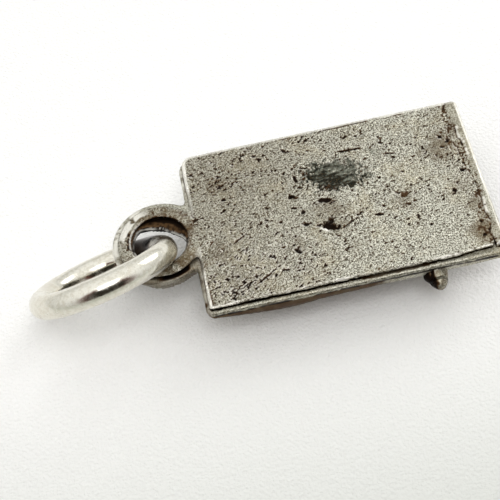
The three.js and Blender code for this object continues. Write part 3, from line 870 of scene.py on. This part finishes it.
def front_layer():
    seam_foot = FRAME_LOW_Z - 0.1
    sides = [
        (-0.01, FRAME_LOW_Z - 0.06),
        (-0.01, seam_foot),
        (-0.01, lambda x, y: (seam_foot + plate_rim_z(x, y)) / 2),
        (-0.01, lambda x, y: plate_rim_z(x, y) + 0.05),
    ]
    piece = grid_sheet("front_layer", plate_distance, plate_low, plate_high, MIDDLE_CELL, plate_top,
                       plate_bottom, sides)
    spot = places(piece)
    x, y, z = spot.T
    patchy = ease(-0.2, 0.5, mixed_noise(spot, 85, (1, 0.6), (0.6, 0.14)))
    in_seam = ease(seam_foot, FRAME_LOW_Z - 0.055, z) * seam_share(x, y)
    # The strip is darker and browner along the eyelet's half of the camera's top side
    left_half = ease(2.5, 0.0, x) * ease(-4.0, -4.6, y)
    low, high = frame_box("raised_front")
    corner = ease(0.35, 0.0, rectangle_distance(x, y, low, high, 0.5)) * (z < PLATE_LOW_Z + 0.05)
    soil = np.where(z < PLATE_LOW_Z + 0.04, 0.12, 0.1) * patchy + 0.42 * left_half * (0.6 + 0.4 * patchy)
    paint(piece, soil=most(in_seam, soil, 0.8 * corner), stain=0.95 * left_half,
          worn=0.15 * (1 - patchy) * (1 - left_half))
    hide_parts("front_plate")
    return piece


# The jump ring of round wire

RING_LEAN = math.radians(42.4)
RING_TURN = math.radians(-15.9)
WIRE_RADIUS = 0.65


def wire_ring():
    *_, centre, half_reach = round_box("jump_ring")
    axis = Vector((math.cos(RING_LEAN) * math.sin(RING_TURN), math.cos(RING_LEAN) * math.cos(RING_TURN),
                   math.sin(RING_LEAN)))
    mean_radius = (half_reach - WIRE_RADIUS) / math.sqrt(1 - axis.x ** 2)
    across = np.array(axis.cross(Vector((0, 0, 1))).normalized())
    up = np.cross(across, np.array(axis))
    around = np.linspace(0, 2 * math.pi, 48, endpoint=False)[:, None]
    rows = []
    for angle in np.linspace(0, 2 * math.pi, 240, endpoint=False):
        away = math.cos(angle) * across + math.sin(angle) * up
        wire = np.cos(around) * away + np.sin(around) * np.array(axis)
        on_wire = centre + mean_radius * away + WIRE_RADIUS * wire
        uneven = mixed_noise(on_wire, 91, (0.008, 1.4), (0.003, 0.5))
        rows.append(on_wire + (uneven - 0.008)[:, None] * wire)
    piece = loft("wire_ring", rows, closed=True)
    spot = places(piece)
    x, y, z = spot.T
    from_eyelet = eyelet_distance(x, y)
    ragged = 0.25 * noise(spot, 0.5, 93) + 0.15 * noise(spot, 0.15, 95)
    # Painted shade: the wire is darkened where it passes under the eyelet, in the soil layer
    under = 0.8 * ease(BACK_Z + 0.18, BACK_Z - 0.32, z) * ease(2.1, 1.5, from_eyelet + ragged)
    rubbed = ease(1.7, 0.7, from_eyelet) * (0.45 + 0.2 * noise(spot * [0.3, 1, 1], 0.12, 94))
    paint(piece, soil=under, stain=rubbed)
    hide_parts("jump_ring")
    return piece


# The raised front, which faces the floor

FINDER_RIM = 0.2
RIM_WIDTH = 0.9
DOME_RISE = 0.3
PEBBLE_SIZE = 0.34
PEBBLE_DEPTH = 0.07
FLUTES = 32
FLUTE_DEPTH = 0.09


def front_slab(name, node, radius, bevel, cell, seed, relief=None, hole=None):
    """A slab that hangs from the front plate. Its lower face has soft edges and an uneven, cast surface."""
    low, high = frame_box(node)

    def distance(x, y):
        wear = mixed_noise(flat_points(x, y), seed, (0.015, 1.1), (0.006, 0.3))
        plain = rectangle_distance(x, y, low, high, radius)
        return (plain if hole is None else most(plain, hole(x, y))) + wear

    def bottom(x, y):
        uneven = mixed_noise(flat_points(x, y), seed + 2, (0.008, 0.8), (0.004, 0.25))
        carved = 0 if relief is None else relief(x, y)
        return low[2] + edge_drop(-distance(x, y), bevel * 1.2, bevel) + uneven + carved

    sides = [(0.0, high[2] - 0.01), (0.0, (low[2] + high[2]) / 2), (0.0, low[2] + bevel)]
    piece = grid_sheet(name, distance, low, high, cell, flat_at(high[2]), bottom, sides)
    spot = places(piece)
    x, y, z = spot.T
    grime = ease(-0.2, 0.6, mixed_noise(spot, seed + 4, (1, 0.5), (0.5, 0.14)))
    foot = ease(low[2] + bevel, high[2], z)
    worn = ease(3 * bevel, 0, -distance(x, y)) * ease(low[2] + 2 * bevel, low[2] + bevel / 2, z)
    paint(piece, soil=most(0.35 * grime, foot * (0.5 + 0.5 * grime)), worn=0.5 * worn)
    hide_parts(node)
    return piece


def pebbles(x, y):
    """Height of a leather-like grain from 0 to 1, from the two nearest of a scatter of points."""
    table = np.random.default_rng(9).uniform(0.1, 0.9, (64, 64, 2))
    x, y = x / PEBBLE_SIZE, y / PEBBLE_SIZE
    column, row = np.floor(x).astype(int), np.floor(y).astype(int)
    nearest = np.full_like(x, 9.0)
    second = np.full_like(x, 9.0)
    for step_x, step_y in np.ndindex(3, 3):
        cell_x, cell_y = column + step_x - 1, row + step_y - 1
        shift = table[cell_x % 64, cell_y % 64]
        away = np.hypot(x - cell_x - shift[..., 0], y - cell_y - shift[..., 1])
        second = np.minimum(second, most(nearest, away))
        nearest = np.minimum(nearest, away)
    return ease(0.0, 0.35, second - nearest)


mount_low, mount_high, LENS_PLACE, MOUNT_RADIUS = round_box("lens_mount")
LENS_AXIS = LENS_PLACE * [1, 1, 0]


def lens_hole(x, y):
    return MOUNT_RADIUS + 0.03 - np.hypot(x - LENS_PLACE[0], y - LENS_PLACE[1])


def grained_panel():
    piece = front_slab("leather_panel", "grained_panel", 0.3, 0.04, MIDDLE_CELL, 120,
                       lambda x, y: PEBBLE_DEPTH * (1 - pebbles(x, y)) - 0.01, lens_hole)
    x, y, _ = places(piece).T
    paint(piece, soil=ease(0.75, 0.1, pebbles(x, y)), worn=0.25 * pebbles(x, y))
    return piece


def finder_hole(x, y):
    low, high = frame_box("viewfinder_frame")
    return -rectangle_distance(x, y, low + FINDER_RIM, high - FINDER_RIM, 0.1)


# Turned pieces: the lens, the knob and the buttons

def rounded(corners, steps=5):
    """Points along a profile of (radius, height, rounding) corners, with each corner drawn as a curve."""
    path = [np.array(corner[:2], float) for corner in corners]
    points = [path[0]]
    for number in range(1, len(path) - 1):
        corner, rounding = path[number], corners[number][2]
        back, onward = path[number - 1] - corner, path[number + 1] - corner
        back, onward = back / np.linalg.norm(back), onward / np.linalg.norm(onward)
        for share in np.linspace(0, 1, steps + 1):
            points.append(corner + rounding * (back * (1 - share) ** 2 + onward * share ** 2))
    return points + [path[-1]]


def turned(name, node, profile, axis, centre, segments=96, closed=False, rough=0.006, seed=0, reshape=None):
    """A piece turned round an axis through a centre, from (radius, distance along the axis) points."""
    axis, side = np.array(axis, float), np.array([1.0, 0, 0])
    angles = np.linspace(0, 2 * np.pi, segments, endpoint=False)
    way = np.cos(angles)[:, None] * side + np.sin(angles)[:, None] * np.cross(axis, side)
    rows = np.array([centre + way * radius + axis * along for radius, along in profile])
    if reshape is not None:
        rows = reshape(rows, angles)
    uneven = [noise(rows, 0.9, seed + step) + 0.4 * noise(rows, 0.22, seed + 3 + step) for step in range(3)]
    piece = loft(name, rows + rough * np.stack(uneven, axis=-1), closed)
    grime = ease(-0.3, 0.7, mixed_noise(places(piece), seed + 7, (1, 0.6), (0.5, 0.15)))
    paint(piece, soil=0.4 * grime)
    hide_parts(node)
    return piece


UPWARD = (0, 0, 1)
TOWARDS_TOP = (0, -1, 0)
# How far from the axis a closed profile starts and ends
CORE = 0.01


def lens_flange():
    groove = MOUNT_RADIUS - 0.2
    low, high = mount_low[2], mount_high[2]
    corners = [(CORE, low), (groove, low, 0.01), (groove + 0.02, low + 0.04, 0.01),
               (groove + 0.05, low + 0.04, 0.01), (groove + 0.07, low, 0.01), (MOUNT_RADIUS, low, 0.08),
               (MOUNT_RADIUS, high, 0.01), (CORE, high)]
    return turned("lens_flange", "lens_mount", rounded(corners), UPWARD, LENS_AXIS, 128, seed=200)


def fluted_barrel():
    low, high, _, radius = round_box("lens_barrel")
    heights = np.linspace(low[2], high[2], 15)
    lips = ease(low[2] + 0.04, low[2] + 0.1, heights) * ease(high[2] - 0.04, high[2] - 0.1, heights)

    def fluted(rows, angles):
        wave = 0.5 - 0.5 * np.cos(angles * FLUTES)
        share = np.concatenate([[0], lips, [0]])[:, None] * wave ** 0.7
        inward = (rows - LENS_AXIS) * [1, 1, 0]
        return rows - FLUTE_DEPTH * share[..., None] * inward / radius

    profile = [(CORE, low[2]), *[(radius, height) for height in heights], (CORE, high[2])]
    return turned("fluted_barrel", "lens_barrel", profile, UPWARD, LENS_AXIS, 384, rough=0.004, seed=210,
                  reshape=fluted)


def front_rim():
    _, high, middle, radius = round_box("lens_rim")
    bore, line = radius - RIM_WIDTH, middle[2]
    corners = [(bore, high[2]), (bore, 0.14, 0.03), (bore + 0.07, 0.1, 0.03), (bore + 0.1, 0.005, 0.04),
               (radius, 0.005, 0.09), (radius, line - 0.04, 0.01), (radius - 0.03, line - 0.02, 0.01),
               (radius - 0.03, line + 0.02, 0.01), (radius, line + 0.04, 0.01), (radius, high[2], 0.03),
               (bore + 0.1, high[2])]
    return turned("front_rim", "lens_rim", rounded(corners), UPWARD, LENS_AXIS, 128, closed=True,
                  rough=0.003, seed=220)


def domed_glass():
    low, high, _, radius = round_box("lens_dome")
    turns = np.linspace(0.01, math.pi / 2, 14)
    bulge = [(radius * math.sin(turn), low[2] + DOME_RISE * (1 - math.cos(turn))) for turn in turns]
    profile = [*bulge, (radius, high[2]), (CORE, high[2])]
    return turned("domed_glass", "lens_dome", profile, UPWARD, LENS_AXIS, rough=0.002, seed=230)


def range_window():
    low, high, middle, radius = round_box("rangefinder_window")
    corners = [(CORE, low[2] + 0.05), (radius * 0.5, low[2] + 0.045, 0.03), (radius * 0.7, low[2], 0.02),
               (radius, low[2], 0.04), (radius, high[2], 0.01), (CORE, high[2])]
    return turned("round_window", "rangefinder_window", rounded(corners), UPWARD, middle * [1, 1, 0], 48,
                  rough=0.003, seed=240)


def side_part(node):
    """Length, radius and starting point of a round node that stands out from the camera's top side."""
    low, high, middle, radius = round_box(node)
    return high[1] - low[1], radius, middle * [1, 0, 1] + [0, high[1], 0]


def lump_shade_and_specks(piece, start_x, near, far, strength, seed):
    """Painted shade on the left side of a lump, and soil in specks all over. Gives the piece's points for
    more.
    """
    spot = places(piece)
    # Painted shade on the lump's left side
    left = ease(start_x - near, start_x - far, spot[:, 0] + 0.12 * noise(spot, 0.2, seed))
    speck = ease(-0.1, 0.4, noise(spot, 0.14, seed + 1))
    paint(piece, soil=most(left, strength * speck))
    return spot


def button():
    length, radius, start = side_part("shutter_button")
    corners = [(CORE, 0), (radius, 0, 0.01), (radius, length, 0.09), (radius * 0.6, length - 0.01, 0.05),
               (radius * 0.5, length - 0.05, 0.04), (CORE, length - 0.06)]
    return turned("dished_button", "shutter_button", rounded(corners), TOWARDS_TOP, start, 48, seed=250)


def knob():
    """The winding knob is a soft lump: its upper side is squashed under the edge of the front plate."""
    length, radius, start = side_part("winding_knob")
    room = (FRAME_LOW_Z - 0.08 - start[2]) / radius
    corners = [(CORE, 0), (0.3, 0, 0.01), (0.36, length - 0.6, 0.1), (radius * 0.9, length - 0.42, 0.1),
               (radius * 0.98, length - 0.2, 0.14), (radius * 0.62, length + 0.12, 0.1),
               (CORE, length + 0.3)]

    def squashed(rows, angles):
        rise = rows[..., 2] - start[2]
        rows[..., 2] = start[2] + np.where(rise > 0, room * rise, 0.94 * rise)
        return rows

    piece = turned("knob_lump", "winding_knob", rounded(corners), TOWARDS_TOP, start, rough=0.045, seed=260,
                   reshape=squashed)
    spot = lump_shade_and_specks(piece, start[0], 0.05, 0.4, 0.32, 267)
    paint(piece, stain=np.full(len(spot), 0.35))
    return piece


def tip():
    full_length, radius, start = side_part("knob_tip")
    length = 0.78 * full_length
    corners = [(CORE, -0.5), (radius * 1.6, -0.5, 0.02), (radius * 1.3, 0.05, 0.25),
               (radius * 0.95, length * 0.7, 0.25), (radius * 0.45, length + 0.06, 0.12),
               (CORE, length + 0.1)]
    piece = turned("knob_nub", "knob_tip", rounded(corners), TOWARDS_TOP, start, 64, rough=0.035, seed=270)
    spot = lump_shade_and_specks(piece, start[0], 0.02, 0.28, 0.25, 277)
    # Painted shade: the nub is darker and browner towards its underside
    under = ease(start[2] + 0.1, start[2] - 0.2, spot[:, 2] + 0.06 * noise(spot, 0.2, 279))
    paint(piece, stain=0.2 + 0.4 * under)
    return piece


# Materials

# What the warm blotches keep of a silver's tone, and the tones of the layers over it
WARM_SHARE = (0.72, 0.64, 0.5)
GLINT_TONE = (0.95, 0.94, 0.87)
STAIN_TONE = (0.11, 0.075, 0.035)
DENT_TONE, DENT_BLACK = (0.17, 0.18, 0.145), (0.012, 0.014, 0.011)
SPECK_TONE = (0.07, 0.048, 0.025)
SOIL_TONE, SOIL_BLACK = (0.08, 0.044, 0.02), (0.01, 0.006, 0.004)
# Tone of rubbed wear, and of the painted highlights on rims, pit sides and ridges
WEAR_AND_HIGHLIGHT_TONE = (0.85, 0.83, 0.76)


def set_inputs(node, inputs):
    """Each input takes a value or another node's output."""
    for socket, value in inputs.items():
        if isinstance(value, bpy.types.NodeSocket):
            node.id_data.links.new(value, node.inputs[socket])
        else:
            node.inputs[socket].default_value = value


def add_node(tree, kind, inputs, **settings):
    node = tree.nodes.new("ShaderNode" + kind)
    for key, value in settings.items():
        setattr(node, key, value)
    set_inputs(node, inputs)
    return node


def texture(tree, place, size, detail, rough=0.6):
    inputs = {"Vector": place, "Scale": 1 / (size * MM), "Detail": detail, "Roughness": rough}
    return add_node(tree, "TexNoise", inputs).outputs["Fac"]


def ramp(tree, value, low, high, dark=0, light=1, kind="SMOOTHSTEP"):
    inputs = {"Value": value, "From Min": low, "From Max": high, "To Min": dark, "To Max": light}
    return add_node(tree, "MapRange", inputs, interpolation_type=kind).outputs["Result"]


def mix(tree, share, first, second):
    """Two colours or outputs, mixed by a share."""
    colours = [(*colour, 1) if isinstance(colour, tuple) else colour for colour in (first, second)]
    inputs = {"Factor": share, 6: colours[0], 7: colours[1]}
    return add_node(tree, "Mix", inputs, data_type="RGBA").outputs[2]


def bumps(tree, height, depth):
    return add_node(tree, "Bump", {"Height": height, "Distance": depth * MM}).outputs["Normal"]


def new_material(name):
    material = bpy.data.materials.new(name)
    material.use_nodes = True
    tree = material.node_tree
    return material, tree, tree.nodes["Principled BSDF"]


def silver_material(name, tone, shadow_tone, roughness, grain, grain_depth, blotch, speck):
    """Cast silver: mottled by fine grain, brown in its hollows, and dark green-grey in the dent, with
    painted highlights in bright specks and on rubbed places.
    """
    material, tree, shader = new_material(name)
    place = add_node(tree, "TexCoord", {}).outputs["Object"]
    stain, dent, soil, worn = [add_node(tree, "Attribute", {}, attribute_name=label).outputs["Fac"]
                               for label in ("stain", "dent", "soil", "worn")]
    fine = texture(tree, place, grain, 3)
    layers = [
        (ramp(tree, texture(tree, place, 1.7, 4), 0.45, 0.75, 0, blotch),
         tuple(part * share for part, share in zip(tone, WARM_SHARE))),
        # Painted highlight: scattered bright specks of glint over the grain
        (ramp(tree, texture(tree, place, grain * 0.8, 2, 0.5), 0.58, 0.68, 0, 0.7 * speck), GLINT_TONE),
        (stain, STAIN_TONE),
        (ramp(tree, dent, 0.02, 0.3), DENT_TONE),
        (ramp(tree, dent, 0.25, 0.75), DENT_BLACK),
        (ramp(tree, texture(tree, place, grain * 0.6, 2), 0.385, 0.485, speck, 0), SPECK_TONE),
        (ramp(tree, soil, 0.05, 0.5), SOIL_TONE),
        (ramp(tree, soil, 0.45, 0.85), SOIL_BLACK),
        # Rubbed wear and painted highlight
        (worn, WEAR_AND_HIGHLIGHT_TONE),
    ]
    colour = mix(tree, ramp(tree, fine, 0.4, 0.56), shadow_tone, tone)
    for share, layer_tone in layers:
        colour = mix(tree, share, colour, layer_tone)
    uneven = ramp(tree, texture(tree, place, 0.5, 3), 0.3, 0.7, roughness - 0.08, roughness + 0.1)
    set_inputs(shader, {"Base Color": colour, "Metallic": 1.0, "Roughness": uneven,
                        "Normal": bumps(tree, fine, grain_depth)})
    return material


def dress(piece, material):
    piece.data.materials.clear()
    piece.data.materials.append(material)


# The floor, the light and the camera

# Half the floor's width in metres, and where along y its painted shade is greyest and where it turns white,
# in millimetres
FLOOR_HALF = 1.5
FLOOR_GREY, FLOOR_WHITE = -19, -4
# Where the dark patch lies that the metal mirrors
DARK_SIDE = Vector((0.12, -0.87, 0.47))


def floor():
    """A plain white floor, with painted shade that turns it a little greyer towards the front."""
    mesh = bpy.data.meshes.new("floor")
    corners = [(-1, -1), (1, -1), (1, 1), (-1, 1)]
    mesh.from_pydata([(FLOOR_HALF * x, FLOOR_HALF * y, 0) for x, y in corners], [], [(0, 1, 2, 3)])
    piece = add_object("floor", mesh)
    material, tree, shader = new_material("pale_floor")
    place = add_node(tree, "TexCoord", {}).outputs["Object"]
    parts = add_node(tree, "SeparateXYZ", {0: place})
    # Painted shade: the floor greys towards the camera
    floor_shade = ramp(tree, parts.outputs["Y"], FLOOR_GREY * MM, FLOOR_WHITE * MM, kind="LINEAR")
    set_inputs(shader, {"Base Color": mix(tree, floor_shade, (0.62, 0.64, 0.6), (0.98, 0.98, 0.97)),
                        "Normal": bumps(tree, texture(tree, place, 0.16, 2, 0.5), 0.08),
                        "Roughness": 0.6, "Specular IOR Level": 0.2})
    dress(piece, material)


def softbox(name, place, size, radiance):
    """A square area lamp that faces the charm, as bright to look at as the given radiance."""
    lamp = bpy.data.lights.new(name, "AREA")
    lamp.shape = "SQUARE"
    lamp.size = size
    lamp.energy = radiance * math.pi * size ** 2
    holder = add_object(name, lamp)
    holder.location = place
    holder.rotation_euler = (-Vector(place)).to_track_quat("-Z", "Y").to_euler()


def world():
    """White all round, and brightest overhead. Metal also mirrors a dark patch low on the camera's side."""
    sky = bpy.data.worlds.new("studio")
    bpy.context.scene.world = sky
    sky.use_nodes = True
    tree = sky.node_tree
    way = add_node(tree, "TexCoord", {}).outputs["Generated"]
    parts = add_node(tree, "SeparateXYZ", {0: way})
    towards = add_node(tree, "VectorMath", {0: way, 1: DARK_SIDE.normalized()}, operation="DOT_PRODUCT")
    nearness = towards.outputs["Value"]
    colour = mix(tree, ramp(tree, parts.outputs["Z"], 0.0, 0.9), (0.75, 0.75, 0.73), (1.1, 1.1, 1.08))
    colour = mix(tree, ramp(tree, nearness, 0.66, 0.8), colour, (0.12, 0.03, 0.02))
    colour = mix(tree, ramp(tree, nearness, 0.78, 0.9), colour, (0.03, 0.026, 0.02))
    seen = add_node(tree, "LightPath", {}).outputs["Is Camera Ray"]
    set_inputs(tree.nodes["Background"], {"Color": mix(tree, seen, colour, (1.0, 1.0, 1.0))})


def camera():
    data = bpy.data.cameras.new("camera")
    data.lens = data.sensor_width * FOCAL_SHARE
    data.clip_start, data.clip_end = 0.001, 10
    holder = add_object("camera", data)
    right = CAMERA_FORWARD.cross(CAMERA_UP).normalized()
    up = right.cross(CAMERA_FORWARD).normalized()
    turn = Matrix((right, up, -CAMERA_FORWARD.normalized())).transposed()
    holder.matrix_world = Matrix.Translation(CAMERA_PLACE) @ turn.to_4x4()
    bpy.context.scene.camera = holder


rough_back = silver_material("rough_back", (0.68, 0.675, 0.575), (0.09, 0.08, 0.056), roughness=0.3,
                             grain=0.084, grain_depth=0.045, blotch=0.5, speck=0.85)
edge_silver = silver_material("edge_silver", (0.57, 0.56, 0.47), (0.22, 0.205, 0.155), roughness=0.46,
                              grain=0.08, grain_depth=0.012, blotch=0.5, speck=0.5)
bright_wire = silver_material("bright_wire", (0.78, 0.76, 0.68), (0.7, 0.67, 0.58), roughness=0.2,
                              grain=0.2, grain_depth=0.0006, blotch=0.2, speck=0.0)
front_silver = silver_material("front_silver", (0.6, 0.58, 0.49), (0.36, 0.34, 0.27), roughness=0.3,
                               grain=0.12, grain_depth=0.005, blotch=0.5, speck=0.3)
dark_leather = silver_material("dark_leather", (0.3, 0.28, 0.23), (0.14, 0.12, 0.09), roughness=0.42,
                               grain=0.1, grain_depth=0.008, blotch=0.6, speck=0.5)
dark_glass = silver_material("dark_glass", (0.2, 0.2, 0.19), (0.15, 0.15, 0.14), roughness=0.1,
                             grain=0.3, grain_depth=0.0, blotch=0.1, speck=0.0)

block = front_slab("front_block", "raised_front", 0.5, 0.18, COARSE_CELL, 100)
strip = front_slab("top_strip", "top_housing", 0.2, 0.08, MIDDLE_CELL, 110)
finder = front_slab("finder_frame", "viewfinder_frame", 0.1, 0.05, FINE_CELL, 130, hole=finder_hole)
finder_glass = front_slab("finder_glass", "viewfinder_window", 0.08, 0.03, FINE_CELL, 140)
groups = [
    ("charm", rough_back, "worn_silver", [back_sheet()]),
    ("charm", edge_silver, "worn_silver", [end_lip(), middle_layer(), front_layer(), knob(), tip()]),
    ("charm", front_silver, "worn_silver", [block, strip, finder, range_window(), button()]),
    ("charm", front_silver, "worn_silver", [lens_flange(), fluted_barrel()]),
    ("charm", front_silver, "bright_silver", [front_rim()]),
    ("charm", bright_wire, "bright_silver", [domed_glass()]),
    ("charm", dark_leather, "dark_silver", [grained_panel()]),
    ("charm", dark_glass, "dark_silver", [finder_glass]),
    ("ring", bright_wire, "bright_silver", [wire_ring()]),
]
for body, material, slot, pieces in groups:
    for piece in pieces:
        dress(piece, material)
        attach(piece, body)

floor()
world()
softbox("overhead", Vector((0.02, -0.12, 0.28)), 0.16, 3)
softbox("glint", Vector((0.2, 0.17, 0.14)), 0.14, 2.5)
camera()
bpy.context.scene.view_settings.view_transform = "Standard"
